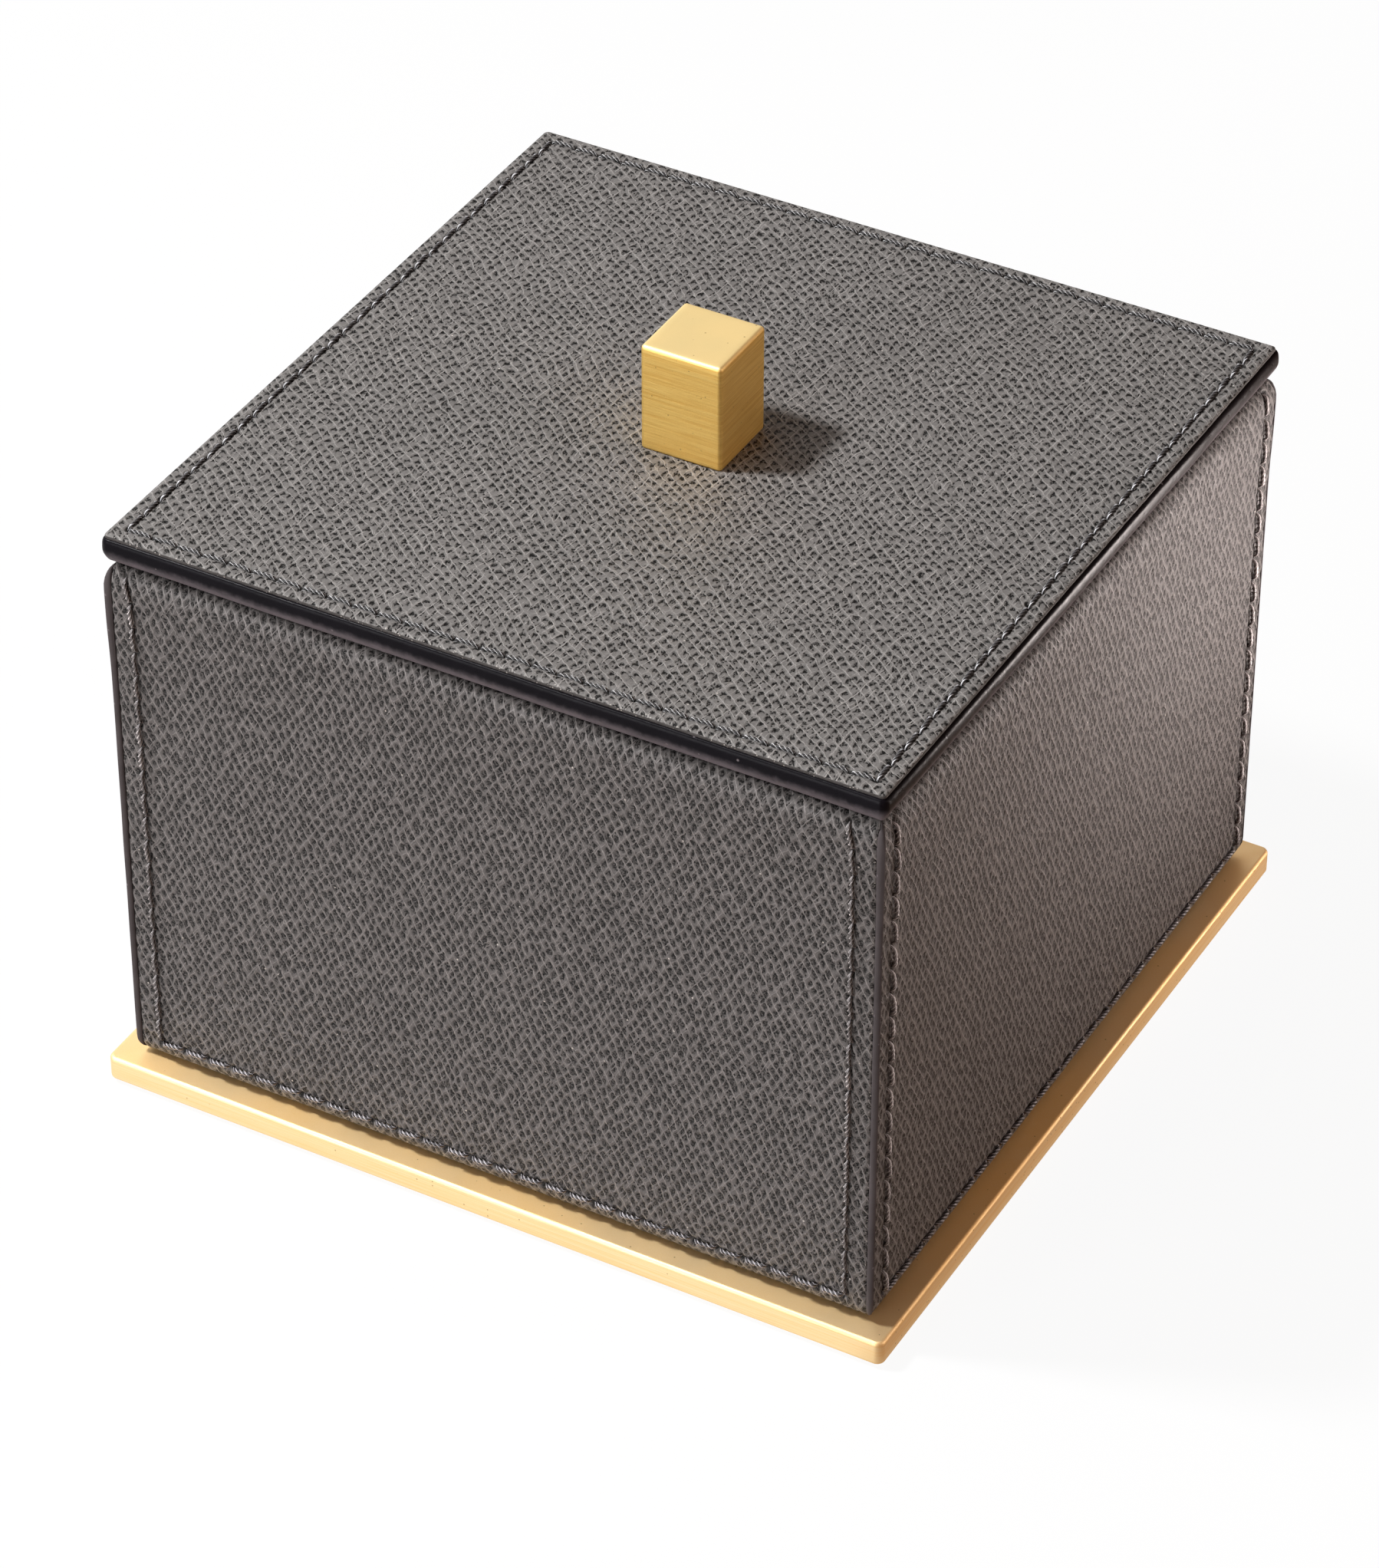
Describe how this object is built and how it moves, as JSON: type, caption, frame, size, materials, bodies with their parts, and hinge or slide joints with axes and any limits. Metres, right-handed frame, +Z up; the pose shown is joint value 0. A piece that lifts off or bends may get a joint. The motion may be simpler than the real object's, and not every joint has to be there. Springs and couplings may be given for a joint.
{
  "type": "leather box",
  "caption": "Square leather-covered keepsake box with stitched walls, a projecting brass base plate and a flat lift-off lid with a square brass knob.",
  "frame": {"origin": "centre of the underside of the felt pad, where the box stands", "axes": "+Z up through the knob, front wall towards -Y, right wall towards +X"},
  "size_m": [0.157, 0.157, 0.1403],
  "materials": {
    "wall_leather": "pebbled warm grey, satin",
    "lid_leather": "pebbled grey, satin",
    "painted_edge": "built-up edge paint, polished, near black",
    "suede": "short-nap suede",
    "felt": "felt",
    "brass": "satin brushed",
    "board": "plain fibreboard",
    "screw_steel": "zinc plated",
    "thread": "waxed twisted thread, dark grey"
  },
  "bodies": {
    "box": {"base_pad": "felt", "base_plate": "brass", "base_screws": "screw_steel", "bottom_board": "board", "front_board": "board", "back_board": "board", "left_board": "board", "right_board": "board", "front_cover": "wall_leather", "back_cover": "wall_leather", "left_cover": "wall_leather", "right_cover": "wall_leather", "front_lining": "suede", "back_lining": "suede", "left_lining": "suede", "right_lining": "suede", "floor_lining": "suede"},
    "lid": {"lid_edge_band": "painted_edge", "lid_board": "board", "lid_underlay": "lid_leather", "lid_leather": "lid_leather", "plug_board": "board", "plug_cover": "suede", "knob": "brass", "knob_screw": "screw_steel", "knob_washer": "screw_steel"}
  },
  "joints": [
    {"name": "lid_lift", "type": "slide", "parent": "box", "child": "lid", "axis": [0, 0, 1], "range_m": [0, 0.08]}
  ]
}
